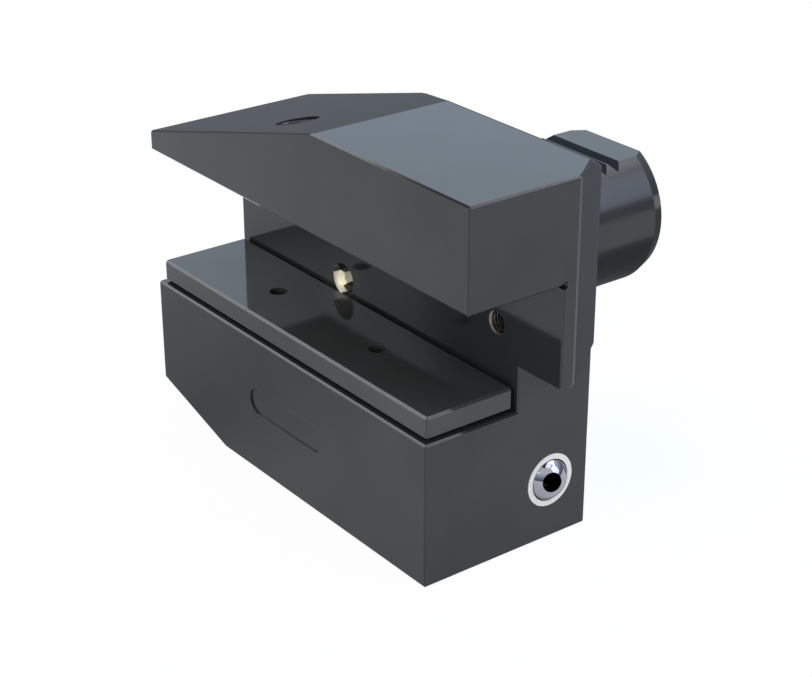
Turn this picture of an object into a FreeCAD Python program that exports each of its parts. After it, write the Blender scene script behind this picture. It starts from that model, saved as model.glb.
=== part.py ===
import FreeCAD, Part
import math
import os
import Sketcher

# Radial tool holder on a toothed round shank, for a square turning tool held head down.
# The origin is the centre of the shank where it leaves the seat face.
# +X points to the tool's cutting end, +Y along the shank and +Z up.

Vector = FreeCAD.Vector
Rotation = FreeCAD.Rotation
Placement = FreeCAD.Placement

# Driving dimensions in millimetres and degrees: alias, value, meaning
SIZES = [
    ("left_reach", 42.5, "shank axis to the blunt left end"),
    ("jaw_reach", 75.5, "shank axis to the right end of jaw and back wall"),
    ("block_reach", 62.5, "shank axis to the right end of the lower block"),
    ("block_drop", 42.5, "shank axis down to the underside"),
    ("jaw_rise", 47.5, "shank axis up to the flat top"),
    ("seat_height", 25.0, "shank axis up to the tool seat under the jaw"),
    ("ledge_drop", 8.5, "shank axis down to the ledge that carries the bar"),
    ("step_rise", 1.7, "shank axis up to the foot of the overhanging wall"),
    ("depth", 45.0, "seat face to front face"),
    ("slot_depth", 24.5, "front face to back wall of the slot"),
    ("nose_angle", 15.0, "slope of the left half of the top"),
    ("ridge_offset", 24.0, "shank axis to the ridge where the slope begins"),
    ("end_chamfer_length", 27.5, "cut under the left end, along X"),
    ("end_chamfer_height", 8.0, "cut under the left end, along Z"),
    ("rear_bevel_depth", 9.5, "bevel of the top rear edge, along Y"),
    ("rear_bevel_drop", 5.5, "bevel of the top rear edge, along Z"),
    ("corner_bevel_length", 12.5, "bevel of the right rear corner, along X"),
    ("corner_bevel_depth", 17.0, "bevel of the right rear corner, along Y"),
    ("edge_break", 0.4, "chamfer of the outer edges"),
    ("relief_radius", 1.0, "round relief in the corner of the tool seat"),
    ("shank_radius", 20.0, "ground shank"),
    ("shank_length", 63.0, "seat face to shank end"),
    ("shank_lead_length", 3.3, "lead chamfer at the shank end, along Y"),
    ("shank_lead_drop", 1.2, "lead chamfer at the shank end, radial"),
    ("rack_flat", 16.0, "shank axis up to the tips of the rack"),
    ("rack_start", 8.0, "seat face to the start of the rack flat, a pitch before the first tooth gap"),
    ("rack_pitch", 4.0, "tooth pitch"),
    ("rack_count", 11, "number of tooth gaps"),
    ("rack_depth", 1.85, "depth of the right-angled tooth gaps"),
    ("seal_groove_start", 2.0, "seat face to the shank's seal groove"),
    ("seal_groove_width", 3.4, "width of the shank's seal groove"),
    ("seal_groove_depth", 2.4, "depth of the shank's seal groove"),
    ("shank_seal_cord", 2.35, "cord of the shank's O-ring, pressed into its groove"),
    ("bar_inset", 1.2, "bar behind the block's front and end faces"),
    ("bar_gap", 0.5, "bar to the back wall"),
    ("bar_seat_gap", 0.3, "bar over the ledge when it is right down"),
    ("bar_thickness", 5.2, "clamping bar"),
    ("bar_lift", 3.0, "travel of the bar, from rest up"),
    ("bar_hole_radius", 2.1, "tapped holes in the bar"),
    ("bar_edge_break", 0.5, "chamfer of the bar's edges"),
    ("screw_spacing", 38.4, "clamp screw to clamp screw"),
    ("clamp_screw_radius", 6.0, "clamp screw thread"),
    ("clamp_screw_length", 22.0, "threaded length of a clamp screw"),
    ("clamp_point_radius", 4.25, "dog point of a clamp screw"),
    ("clamp_point_length", 3.0, "dog point of a clamp screw"),
    ("clamp_socket", 6.0, "hexagon socket across flats"),
    ("clamp_socket_depth", 7.0, "hexagon socket depth"),
    ("tip_gap", 0.1, "dog point to bar"),
    ("thread_clearance", 0.05, "screw to tapped hole, radial"),
    ("thread_chamfer", 1.0, "chamfer at the ends of a clamp screw"),
    ("shoulder_radius", 2.5, "shoulder of a retaining screw"),
    ("shoulder_clearance", 0.25, "shoulder to its hole, radial"),
    ("retainer_thread_radius", 2.0, "threaded end of a retaining screw"),
    ("retainer_tip_depth", 1.1, "retaining screw's end under the top of the bar"),
    ("retainer_head_radius", 4.25, "head of a retaining screw"),
    ("retainer_head_height", 4.0, "head of a retaining screw"),
    ("retainer_socket", 3.0, "hexagon socket across flats"),
    ("retainer_socket_depth", 2.2, "hexagon socket depth"),
    ("head_clearance", 0.5, "retaining screw's head to its counterbore, radial"),
    ("spring_roof", 20.0, "shank axis down to the roof of the counterbore"),
    ("spring_room", 12.0, "counterbore roof to screw head with the bar down"),
    ("spring_wire", 0.9, "wire of a return spring"),
    ("spring_mean_radius", 3.35, "mean coil radius of a return spring"),
    ("spring_turns", 5.5, "turns of a return spring"),
    ("spring_steps", 10, "straight steps in a turn of a return spring"),
    ("cord_sides", 4, "sides of a seal's and a spring wire's section"),
    ("spring_end_gap", 0.05, "spring wire to the faces it presses on"),
    ("bore_radius", 4.0, "coolant bore on the shank axis, and the inlet"),
    ("channel_radius", 3.0, "coolant drillings in the block"),
    ("channel_setback", 10.8, "seat face to the coolant drillings, towards the front"),
    ("channel_drop", 28.0, "shank axis down to inlet, long drilling and nozzle"),
    ("plug_thread_radius", 4.0, "tapped seats of the screw plugs"),
    ("plug_recess", 0.8, "screw plugs under their faces"),
    ("plug_length", 7.0, "screw plugs in the underside, left end and shank"),
    ("plug_seat_depth", 9.0, "tapped depth for the screw plugs"),
    ("plug_socket", 4.0, "hexagon socket across flats"),
    ("plug_socket_depth", 3.5, "hexagon socket depth"),
    ("bore_plug_recess", 1.9, "bore plug behind the back wall of the slot"),
    ("bore_plug_length", 4.5, "bore plug"),
    ("bore_plug_socket_depth", 2.6, "hexagon socket depth"),
    ("wall_screw_offset", 55.0, "shank axis to the wall screw, along X"),
    ("wall_screw_height", 9.5, "shank axis up to the wall screw"),
    ("wall_screw_radius", 2.6, "tapped hole of the wall screw"),
    ("wall_screw_length", 6.0, "wall screw"),
    ("wall_screw_recess", 4.0, "wall screw behind the back wall of the slot"),
    ("wall_screw_socket", 2.5, "hexagon socket across flats"),
    ("wall_hole_depth", 12.0, "tapped hole of the wall screw"),
    ("nose_hole_offset", 0.5, "shank axis to the hole in the sloping top, along X"),
    ("nose_hole_radius", 4.9, "tapped hole in the sloping top"),
    ("nose_hole_depth", 12.0, "tapped hole in the sloping top, square to it"),
    ("nose_plug_length", 7.0, "plug in the sloping top"),
    ("nose_plug_recess", 3.2, "plug under the sloping top"),
    ("nose_plug_socket", 5.0, "hexagon socket across flats"),
    ("nozzle_pocket_radius", 6.25, "pocket of the ball nozzle"),
    ("nozzle_pocket_depth", 8.5, "pocket of the ball nozzle"),
    ("ring_clearance", 0.05, "nozzle ring and seat to the pocket, radial"),
    ("ring_length", 4.2, "nozzle ring"),
    ("ring_rise", 0.15, "nozzle ring proud of the block"),
    ("ball_radius", 5.3, "nozzle ball"),
    ("ball_depth", 2.35, "ball centre under the block's end face"),
    ("ball_clearance", 0.1, "ball to ring and seat"),
    ("ball_bore_radius", 2.25, "bore of the nozzle ball"),
    ("ball_tilt", 18.0, "ball's bore off the nozzle axis at rest"),
    ("ball_tilt_turn", 59.0, "direction of that tilt, from +Z towards the slot"),
    ("seat_gap", 0.2, "nozzle ring to nozzle seat"),
    ("seat_length", 3.8, "nozzle seat"),
    ("seat_bore_radius", 3.2, "bore of the nozzle seat"),
    ("seat_cone_angle", 45.0, "cone of the nozzle seat, off its axis"),
    ("lip_angle", 13.0, "conical lip of the nozzle ring, off its axis"),
    ("inlet_groove_inner", 5.3, "seal groove around the coolant inlet"),
    ("inlet_groove_outer", 7.4, "seal groove around the coolant inlet"),
    ("inlet_groove_depth", 1.4, "seal groove around the coolant inlet"),
    ("inlet_seal_inner", 5.4, "inner radius of the inlet's O-ring"),
    ("inlet_seal_cord", 1.8, "cord of the inlet's O-ring"),
    ("mark_length", 28.5, "milled marking field in the front of the lower block"),
    ("mark_height", 6.5, "marking field"),
    ("mark_depth", 0.4, "marking field"),
    ("mark_offset", 11.0, "shank axis to the middle of the marking field, along X"),
    ("mark_drop", 24.1, "shank axis down to the middle of the marking field"),
    ("overcut", 2.0, "how far a cut runs past the face it opens in"),
]

doc = FreeCAD.newDocument("radial_tool_holder")
sheet = doc.addObject("Spreadsheet::Sheet", "Dim")
for row, (alias, value, meaning) in enumerate(SIZES, start=1):
    sheet.set("A%d" % row, alias)
    sheet.set("B%d" % row, str(value))
    sheet.setAlias("B%d" % row, alias)
    sheet.set("C%d" % row, meaning)
doc.recompute()

ALIASES = [alias for alias, _, _ in SIZES]
pieces = []


def bound(text):
    """Writes the sheet's name before each alias in an expression."""
    words = []
    word = ""
    for letter in text + " ":
        if letter.isalpha() or letter == "_":
            word += letter
            continue
        words.append("Dim." + word if word in ALIASES else word)
        words.append(letter)
        word = ""
    return "".join(words).strip()


def number(text):
    """The present value of an expression in the sheet's sizes."""
    value = sheet.evalExpression(bound(text))
    return float(getattr(value, "Value", value))


def piece(label):
    """Starts the body of one piece."""
    body = doc.addObject("PartDesign::Body", label)
    body.Label = label
    pieces.append(body)
    return body


def sketch(body, role, name, offset=None):
    """A sketch on one of the body's own origin planes, moved along its normal by offset."""
    made = body.newObject("Sketcher::SketchObject", name)
    plane = next(f for f in body.Origin.OriginFeatures if f.Role == role)
    made.AttachmentSupport = [(plane, "")]
    made.MapMode = "FlatFace"
    if offset is not None:
        made.setExpression("AttachmentOffset.Base.z", bound(offset))
    return made


def bind(made, constraint, text):
    """Adds a constraint whose value follows an expression."""
    index = made.addConstraint(constraint)
    made.setExpression("Constraints[%d]" % index, bound(text))


def fix_point(made, geometry, point, across, up):
    bind(made, Sketcher.Constraint("DistanceX", -1, 1, geometry, point, number(across)), across)
    bind(made, Sketcher.Constraint("DistanceY", -1, 1, geometry, point, number(up)), up)


def outline(made, corners):
    """A closed outline of straight edges through corners given as pairs of expressions."""
    spots = [Vector(number(across), number(up), 0) for across, up in corners]
    first = made.GeometryCount
    count = len(spots)
    for i, spot in enumerate(spots):
        made.addGeometry(Part.LineSegment(spot, spots[(i + 1) % count]), False)
    for i, (across, up) in enumerate(corners):
        after = first + (i + 1) % count
        made.addConstraint(Sketcher.Constraint("Coincident", first + i, 2, after, 1))
        fix_point(made, first + i, 1, across, up)


def rectangle(made, left, right, low, high):
    outline(made, [(left, low), (right, low), (right, high), (left, high)])


def circle(made, across, up, radius):
    centre = Vector(number(across), number(up), 0)
    ring = made.addGeometry(Part.Circle(centre, Vector(0, 0, 1), number(radius)), False)
    fix_point(made, ring, 3, across, up)
    bind(made, Sketcher.Constraint("Radius", ring, number(radius)), radius)


def obround(made, across, up, length, height):
    """A slot shape that lies along the sketch's first axis."""
    x, y, r = number(across), number(up), number(height) / 2
    reach = number(length) / 2 - r
    z = Vector(0, 0, 1)
    half = math.pi / 2
    right_end = Part.ArcOfCircle(Part.Circle(Vector(x + reach, y, 0), z, r), -half, half)
    left_end = Part.ArcOfCircle(Part.Circle(Vector(x - reach, y, 0), z, r), half, 3 * half)
    top = made.addGeometry(Part.LineSegment(Vector(x - reach, y + r, 0), Vector(x + reach, y + r, 0)), False)
    right = made.addGeometry(right_end, False)
    low = made.addGeometry(Part.LineSegment(Vector(x + reach, y - r, 0), Vector(x - reach, y - r, 0)), False)
    left = made.addGeometry(left_end, False)
    made.addConstraint(Sketcher.Constraint("Tangent", top, 2, right, 2))
    made.addConstraint(Sketcher.Constraint("Tangent", right, 1, low, 1))
    made.addConstraint(Sketcher.Constraint("Tangent", low, 2, left, 2))
    made.addConstraint(Sketcher.Constraint("Tangent", left, 1, top, 1))
    ends = ((right, "+"), (left, "-"))
    for end, sign in ends:
        fix_point(made, end, 3, "%s %s (%s - %s) / 2" % (across, sign, length, height), up)
        bind(made, Sketcher.Constraint("Radius", end, r), "%s / 2" % height)


def hexagon(made, across_flats):
    corners = []
    for i in range(6):
        turn = 30 + 60 * i
        corners.append(("%s / sqrt(3) * cos(%d)" % (across_flats, turn),
                        "%s / sqrt(3) * sin(%d)" % (across_flats, turn)))
    outline(made, corners)


def grow(body, made, name, length):
    """Pads a sketch along its normal."""
    pad = body.newObject("PartDesign::Pad", name)
    pad.Profile = made
    pad.setExpression("Length", bound(length))
    doc.recompute()
    return pad


def cut(body, made, name, length=None, forward=False):
    """Cuts a sketch out: against its normal or, with forward, along it; both ways through if no length."""
    before = body.Shape.Volume
    pocket = body.newObject("PartDesign::Pocket", name)
    pocket.Profile = made
    if length is None:
        pocket.Type = "ThroughAll"
        pocket.SideType = "Symmetric"
    else:
        pocket.setExpression("Length", bound(length))
        pocket.Reversed = forward
    doc.recompute()
    if body.Shape.Volume > before - 1e-3:
        raise RuntimeError("%s in %s cuts nothing" % (name, body.Label))
    return pocket


def turn(body, made, name):
    """Revolves a sketch around its own upright axis."""
    revolution = body.newObject("PartDesign::Revolution", name)
    revolution.Profile = made
    revolution.ReferenceAxis = (made, ["V_Axis"])
    revolution.Angle = 360
    doc.recompute()
    return revolution


def break_edges(body, name, size, wanted):
    """Chamfers the edges of the body's last feature that the test wanted picks."""
    base = body.Tip
    names = ["Edge%d" % i for i, edge in enumerate(base.Shape.Edges, start=1) if wanted(edge)]
    chamfer = body.newObject("PartDesign::Chamfer", name)
    chamfer.Base = (base, names)
    chamfer.setExpression("Size", bound(size))
    doc.recompute()
    return chamfer


def place(made, x, y, z, axis=None, angle="0"):
    """Puts a piece at a point, turned about a fixed axis by an angle in degrees."""
    if axis is not None:
        made.Placement = Placement(Vector(), Rotation(axis, number(angle)))
        made.setExpression("Placement.Rotation.Angle", bound(angle))
    for letter, text in (("x", x), ("y", y), ("z", z)):
        made.setExpression("Placement.Base.%s" % letter, bound(text))


def is_straight(edge):
    return edge.Curve.TypeId == "Part::GeomLine"


def lies_at(edge, x=None, y=None, z=None):
    """True if both ends of an edge lie at the given coordinates."""
    near = 1e-4
    for vertex in edge.Vertexes:
        point = vertex.Point
        for have, want in ((point.x, x), (point.y, y), (point.z, z)):
            if want is not None and abs(have - want) > near:
                return False
    return True


# The holder: one forged and ground piece of steel, from jaw to shank.
# Its front view is extruded to the seat face, and slot, bevels, shank, rack and drillings follow.
holder = piece("holder_body")

TIP_RISE = "jaw_rise - (ridge_offset + left_reach) * tan(nose_angle)"
WALL_BACK = "depth - slot_depth"

front_view = sketch(holder, "XZ_Plane", "FrontView")
outline(front_view, [
    ("-left_reach", "end_chamfer_height - block_drop"),
    ("end_chamfer_length - left_reach", "-block_drop"),
    ("block_reach", "-block_drop"),
    ("block_reach", "step_rise"),
    ("jaw_reach", "step_rise"),
    ("jaw_reach", "jaw_rise"),
    ("ridge_offset", "jaw_rise"),
    ("-left_reach", TIP_RISE),
])
grow(holder, front_view, "Blank", "depth")

slot_view = sketch(holder, "XZ_Plane", "SlotView", "depth")
rectangle(slot_view, "-left_reach - overcut", "jaw_reach + overcut", "-ledge_drop", "seat_height")
cut(holder, slot_view, "ToolSlot", "slot_depth")

rear_bevel = sketch(holder, "YZ_Plane", "RearBevelView")
outline(rear_bevel, [
    ("-rear_bevel_depth", "jaw_rise"),
    ("0", "jaw_rise - rear_bevel_drop"),
    ("overcut", "jaw_rise - rear_bevel_drop"),
    ("overcut", "jaw_rise + overcut"),
    ("-rear_bevel_depth", "jaw_rise + overcut"),
])
cut(holder, rear_bevel, "RearBevel")

corner_bevel = sketch(holder, "XY_Plane", "CornerBevelView")
outline(corner_bevel, [
    ("jaw_reach", "-corner_bevel_depth"),
    ("jaw_reach + overcut", "-corner_bevel_depth"),
    ("jaw_reach + overcut", "overcut"),
    ("jaw_reach - corner_bevel_length", "overcut"),
    ("jaw_reach - corner_bevel_length", "0"),
])
cut(holder, corner_bevel, "CornerBevel")


def is_outer_edge(edge):
    """Every edge of the blank but the inner corners of slot and step."""
    if not is_straight(edge):
        return False
    wall = -number(WALL_BACK)
    inner_corners = (
        lies_at(edge, y=wall, z=-number("ledge_drop")),
        lies_at(edge, y=wall, z=number("seat_height")),
        lies_at(edge, x=number("block_reach"), z=number("step_rise")),
    )
    return not any(inner_corners)


break_edges(holder, "BrokenEdges", "edge_break", is_outer_edge)

relief = sketch(holder, "YZ_Plane", "ReliefView")
circle(relief, "-(depth - slot_depth)", "seat_height", "relief_radius")
cut(holder, relief, "SeatRelief")

# The shank, with its seal groove at the root and a lead chamfer at the end
shank = sketch(holder, "XY_Plane", "ShankProfile")
outline(shank, [
    ("0", "-overcut"),
    ("shank_radius", "-overcut"),
    ("shank_radius", "seal_groove_start"),
    ("shank_radius - seal_groove_depth", "seal_groove_start"),
    ("shank_radius - seal_groove_depth", "seal_groove_start + seal_groove_width"),
    ("shank_radius", "seal_groove_start + seal_groove_width"),
    ("shank_radius", "shank_length - shank_lead_length"),
    ("shank_radius - shank_lead_drop", "shank_length"),
    ("0", "shank_length"),
])
turn(holder, shank, "Shank")

# The rack: a flat along the top of the shank, and right-angled gaps across it
flat = sketch(holder, "YZ_Plane", "RackFlatView")
rectangle(flat, "rack_start", "shank_length + overcut", "rack_flat", "shank_radius + overcut")
cut(holder, flat, "RackFlat")

LAST_GAP = "rack_start + rack_pitch * rack_count"
gap = sketch(holder, "YZ_Plane", "ToothGapView")
outline(gap, [
    (LAST_GAP, "rack_flat - rack_depth"),
    (LAST_GAP + " + rack_depth", "rack_flat"),
    (LAST_GAP + " + rack_depth", "rack_flat + overcut"),
    (LAST_GAP + " - rack_depth", "rack_flat + overcut"),
    (LAST_GAP + " - rack_depth", "rack_flat"),
])
tooth_gap = cut(holder, gap, "ToothGap")
rack = holder.newObject("PartDesign::LinearPattern", "Rack")
rack.Originals = [tooth_gap]
rack.Direction = (gap, ["H_Axis"])
rack.Reversed = True
rack.setExpression("Length", bound("rack_pitch * (rack_count - 1)"))
rack.setExpression("Occurrences", bound("rack_count"))
holder.Tip = rack
doc.recompute()

# Holes of the clamping bar's screws, down through the lower block
BAR_MIDDLE = "(block_reach - left_reach) / 2"
BAR_WIDTH = "(slot_depth - bar_inset - bar_gap)"
CLAMP_LINE = "-(depth - bar_inset - %s / 2)" % BAR_WIDTH
CLAMP_SPOTS = [("left", -1), ("middle", 0), ("right", 1)]
RETAINER_SPOTS = [("left", -0.5), ("right", 0.5)]


def along_bar(steps):
    """A place along the bar, in clamp screw spacings from its middle."""
    return "%s + screw_spacing * (%g)" % (BAR_MIDDLE, steps)


clamp_holes = sketch(holder, "XY_Plane", "ClampHoles")
for _, steps in CLAMP_SPOTS:
    circle(clamp_holes, along_bar(steps), CLAMP_LINE, "clamp_screw_radius + thread_clearance")
cut(holder, clamp_holes, "ClampThreads", "block_drop + overcut")

shoulder_holes = sketch(holder, "XY_Plane", "ShoulderHoles")
for _, steps in RETAINER_SPOTS:
    circle(shoulder_holes, along_bar(steps), CLAMP_LINE, "shoulder_radius + shoulder_clearance")
cut(holder, shoulder_holes, "ShoulderBores", "block_drop + overcut")

head_holes = sketch(holder, "XY_Plane", "HeadHoles", "-block_drop")
for _, steps in RETAINER_SPOTS:
    circle(head_holes, along_bar(steps), CLAMP_LINE, "retainer_head_radius + head_clearance")
cut(holder, head_holes, "Counterbores", "block_drop - spring_roof", forward=True)

# Coolant ways: the bore on the shank axis, an upright and a long drilling, and the inlet in the seat face
axis_bore = sketch(holder, "XZ_Plane", "AxisBoreView", WALL_BACK)
circle(axis_bore, "0", "0", "bore_radius")
cut(holder, axis_bore, "AxisBore", "shank_length + depth")

upright = sketch(holder, "XY_Plane", "UprightView", "-block_drop")
circle(upright, "0", "-channel_setback", "channel_radius")
cut(holder, upright, "UprightDrilling", "block_drop", forward=True)

upright_seat = sketch(holder, "XY_Plane", "UprightSeatView", "-block_drop")
circle(upright_seat, "0", "-channel_setback", "plug_thread_radius")
cut(holder, upright_seat, "UprightPlugSeat", "plug_seat_depth", forward=True)

long_way = sketch(holder, "YZ_Plane", "LongDrillingView", "-left_reach")
circle(long_way, "-channel_setback", "-channel_drop", "channel_radius")
cut(holder, long_way, "LongDrilling", "left_reach + block_reach", forward=True)

long_seat = sketch(holder, "YZ_Plane", "LongSeatView", "-left_reach")
circle(long_seat, "-channel_setback", "-channel_drop", "plug_thread_radius")
cut(holder, long_seat, "LongPlugSeat", "plug_seat_depth", forward=True)

nozzle_pocket = sketch(holder, "YZ_Plane", "NozzlePocketView", "block_reach")
circle(nozzle_pocket, "-channel_setback", "-channel_drop", "nozzle_pocket_radius")
cut(holder, nozzle_pocket, "NozzlePocket", "nozzle_pocket_depth")

inlet = sketch(holder, "XZ_Plane", "InletView")
circle(inlet, "0", "-channel_drop", "bore_radius")
cut(holder, inlet, "Inlet", "channel_setback", forward=True)

inlet_groove = sketch(holder, "XZ_Plane", "InletGrooveView")
circle(inlet_groove, "0", "-channel_drop", "inlet_groove_inner")
circle(inlet_groove, "0", "-channel_drop", "inlet_groove_outer")
cut(holder, inlet_groove, "InletSealGroove", "inlet_groove_depth", forward=True)

# The tapped holes in the back wall and the sloping top, and the marking field, left bare
wall_hole = sketch(holder, "XZ_Plane", "WallHoleView", WALL_BACK)
circle(wall_hole, "wall_screw_offset", "wall_screw_height", "wall_screw_radius")
cut(holder, wall_hole, "WallHole", "wall_hole_depth")

mark = sketch(holder, "XZ_Plane", "MarkView", "depth")
obround(mark, "mark_offset", "-mark_drop", "mark_length", "mark_height")
cut(holder, mark, "MarkingField", "mark_depth")

NOSE_TOP = "(jaw_rise - (ridge_offset - nose_hole_offset) * tan(nose_angle))"


def under_slope(distance):
    """The point at a distance square under the sloping top, on the nose hole's axis."""
    x = "nose_hole_offset + (%s) * sin(nose_angle)" % distance
    z = "%s - (%s) * cos(nose_angle)" % (NOSE_TOP, distance)
    return x, CLAMP_LINE, z


nose_hole = holder.newObject("PartDesign::SubtractiveCylinder", "NoseHole")
nose_hole.AttachmentSupport = [(next(f for f in holder.Origin.OriginFeatures if f.Role == "XY_Plane"), "")]
nose_hole.MapMode = "FlatFace"
nose_hole.AttachmentOffset = Placement(Vector(), Rotation(Vector(0, -1, 0), number("nose_angle")))
nose_hole.setExpression("AttachmentOffset.Rotation.Angle", bound("nose_angle"))
for letter, text in zip("xyz", under_slope("nose_hole_depth")):
    nose_hole.setExpression("AttachmentOffset.Base.%s" % letter, bound(text))
nose_hole.setExpression("Radius", bound("nose_hole_radius"))
nose_hole.setExpression("Height", bound("nose_hole_depth + overcut"))
doc.recompute()

# The clamping bar: a flat ground bar with two tapped holes for the screws that retain it
bar = piece("clamp_bar")
BAR_FOOT = "bar_seat_gap - ledge_drop"
bar_plan = sketch(bar, "XY_Plane", "BarPlan", BAR_FOOT)
rectangle(bar_plan, "bar_inset - left_reach", "block_reach - bar_inset",
          "bar_inset - depth", "-(depth - slot_depth) - bar_gap")
grow(bar, bar_plan, "BarBlank", "bar_thickness")
break_edges(bar, "BarEdges", "bar_edge_break", is_straight)
bar_holes = sketch(bar, "XY_Plane", "BarHoles", BAR_FOOT)
for _, steps in RETAINER_SPOTS:
    circle(bar_holes, along_bar(steps), CLAMP_LINE, "bar_hole_radius")
cut(bar, bar_holes, "BarThreads", "bar_thickness", forward=True)


def headless_screw(label, radius, length, socket, socket_depth, point=None):
    """A set screw along +Z with its socket at the start and, if asked, a chamfer and a dog point at the end."""
    body = piece(label)
    profile = sketch(body, "XZ_Plane", "Profile")
    corners = [("0", "0"), (radius, "0")]
    if point is None:
        corners += [(radius, length), ("0", length)]
    else:
        chamfer, point_radius, point_length = point
        point_end = "%s + %s" % (length, point_length)
        corners += [
            (radius, "%s - %s" % (length, chamfer)),
            ("%s - %s" % (radius, chamfer), length),
            (point_radius, length),
            (point_radius, point_end),
            ("0", point_end),
        ]
    outline(profile, corners)
    turn(body, profile, "Turned")
    socket_view = sketch(body, "XY_Plane", "SocketView")
    hexagon(socket_view, socket)
    cut(body, socket_view, "Socket", socket_depth, forward=True)
    return body


# Clamp screws: they lift the bar from below with their dog points
SCREW_FOOT = "%s - tip_gap - clamp_point_length - clamp_screw_length" % BAR_FOOT
for side, steps in CLAMP_SPOTS:
    screw = headless_screw("clamp_screw_%s" % side, "clamp_screw_radius", "clamp_screw_length", "clamp_socket",
                           "clamp_socket_depth", ("thread_chamfer", "clamp_point_radius", "clamp_point_length"))
    place(screw, along_bar(steps), CLAMP_LINE, SCREW_FOOT)

# Retaining screws: shoulder screws that hang from the bar, each with a return spring over its head
HEAD_TOP = "-(spring_roof + spring_room)"
SHOULDER = "(%s - (%s))" % (BAR_FOOT, HEAD_TOP)
for side, steps in RETAINER_SPOTS:
    retainer = piece("retaining_screw_%s" % side)
    profile = sketch(retainer, "XZ_Plane", "Profile")
    shoulder_end = "retainer_head_height + %s" % SHOULDER
    thread_end = "%s + bar_thickness - retainer_tip_depth" % shoulder_end
    outline(profile, [
        ("0", "0"),
        ("retainer_head_radius", "0"),
        ("retainer_head_radius", "retainer_head_height"),
        ("shoulder_radius", "retainer_head_height"),
        ("shoulder_radius", shoulder_end),
        ("retainer_thread_radius", shoulder_end),
        ("retainer_thread_radius", thread_end),
        ("0", thread_end),
    ])
    turn(retainer, profile, "Turned")
    socket_view = sketch(retainer, "XY_Plane", "SocketView")
    hexagon(socket_view, "retainer_socket")
    cut(retainer, socket_view, "Socket", "retainer_socket_depth", forward=True)
    place(retainer, along_bar(steps), CLAMP_LINE, "%s - retainer_head_height" % HEAD_TOP)

# Return springs: wire between the counterbore's roof and the screw's head, wound in short straight steps
for side, steps in RETAINER_SPOTS:
    coil_height = number("spring_room - spring_wire - 2 * spring_end_gap")
    coil_steps = round(number("spring_turns * spring_steps"))
    coil_points = []
    for i in range(coil_steps + 1):
        turned = 2 * math.pi * i / number("spring_steps")
        coil_points.append(Vector(math.cos(turned), math.sin(turned), 0) * number("spring_mean_radius")
                           + Vector(0, 0, coil_height * i / coil_steps))
    path = doc.addObject("Part::Polygon", "SpringPath_%s" % side)
    path.Nodes = coil_points
    wire = doc.addObject("Part::RegularPolygon", "SpringWire_%s" % side)
    wire.Polygon = int(number("cord_sides"))
    wire.setExpression("Circumradius", bound("spring_wire / 2"))
    wire.Placement = Placement(Vector(), Rotation(Vector(1, 0, 0), 90))
    wire.setExpression("Placement.Base.x", bound("spring_mean_radius"))
    doc.recompute()
    spring = doc.addObject("Part::Sweep", "return_spring_%s" % side)
    spring.Label = "return_spring_%s" % side
    spring.Sections = [wire]
    spring.Spine = (path, ["Edge%d" % i for i in range(1, len(path.Shape.Edges) + 1)])
    spring.Solid = True
    spring.Transition = "Right corner"
    place(spring, along_bar(steps), CLAMP_LINE, "%s + spring_wire / 2 + spring_end_gap" % HEAD_TOP)
    pieces.append(spring)

# Screw plugs of the coolant ways
PLUG_RADIUS = "(plug_thread_radius - thread_clearance)"
PLUG = (PLUG_RADIUS, "plug_length", "plug_socket", "plug_socket_depth")
X_AXIS = Vector(1, 0, 0)
Y_AXIS = Vector(0, 1, 0)

bottom_plug = headless_screw("bottom_plug", *PLUG)
place(bottom_plug, "0", "-channel_setback", "plug_recess - block_drop")

left_plug = headless_screw("left_outlet_plug", *PLUG)
place(left_plug, "plug_recess - left_reach", "-channel_setback", "-channel_drop", Y_AXIS, "90")

shank_plug = headless_screw("shank_plug", *PLUG)
place(shank_plug, "0", "shank_length - plug_recess", "0", X_AXIS, "90")

bore_plug = headless_screw("bore_plug", "(bore_radius - thread_clearance)", "bore_plug_length",
                           "plug_socket", "bore_plug_socket_depth")
place(bore_plug, "0", "-(depth - slot_depth) + bore_plug_recess", "0", Vector(-1, 0, 0), "90")

wall_screw = headless_screw("wall_screw", "(wall_screw_radius - thread_clearance)", "wall_screw_length",
                            "wall_screw_socket", "bore_plug_socket_depth")
place(wall_screw, "wall_screw_offset", "-(depth - slot_depth) + wall_screw_recess", "wall_screw_height",
      Vector(-1, 0, 0), "90")

nose_plug = headless_screw("nose_plug", "(nose_hole_radius - thread_clearance)", "nose_plug_length",
                           "nose_plug_socket", "plug_socket_depth")
place(nose_plug, *under_slope("nose_plug_recess"), Y_AXIS, "180 - nose_angle")


# Ball nozzle: a ring pressed into the block's end, the ball it holds and the seat behind the ball.
# Each is turned about its own axis, with zero at the block's end face and depths below it.
BALL_ROOM = "(ball_radius + ball_clearance)"


def turned_nozzle_piece(label, corners):
    """A piece of the nozzle from a half section, given as radius and height over the block's end face."""
    body = piece(label)
    profile = sketch(body, "XZ_Plane", "Profile")
    outline(profile, corners)
    turn(body, profile, "Turned")
    place(body, "block_reach", "-channel_setback", "-channel_drop", Y_AXIS, "90")
    return body


def lip_radius(depth):
    """Radius of the cone that lies on the ball's room at lip_angle, at a depth below the end face."""
    return "%s / cos(lip_angle) - (ball_depth - (%s)) * tan(lip_angle)" % (BALL_ROOM, depth)


RING_RADIUS = "nozzle_pocket_radius - ring_clearance"
LIP_END = "(ball_depth - %s * sin(lip_angle))" % BALL_ROOM
turned_nozzle_piece("nozzle_ring", [
    (lip_radius("-ring_rise"), "ring_rise"),
    (RING_RADIUS, "ring_rise"),
    (RING_RADIUS, "-ring_length"),
    (BALL_ROOM, "-ring_length"),
    (BALL_ROOM, "-ball_depth"),
    ("%s * cos(lip_angle)" % BALL_ROOM, "-" + LIP_END),
])

SEAT_TOP = "-(ring_length + seat_gap)"


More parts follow.
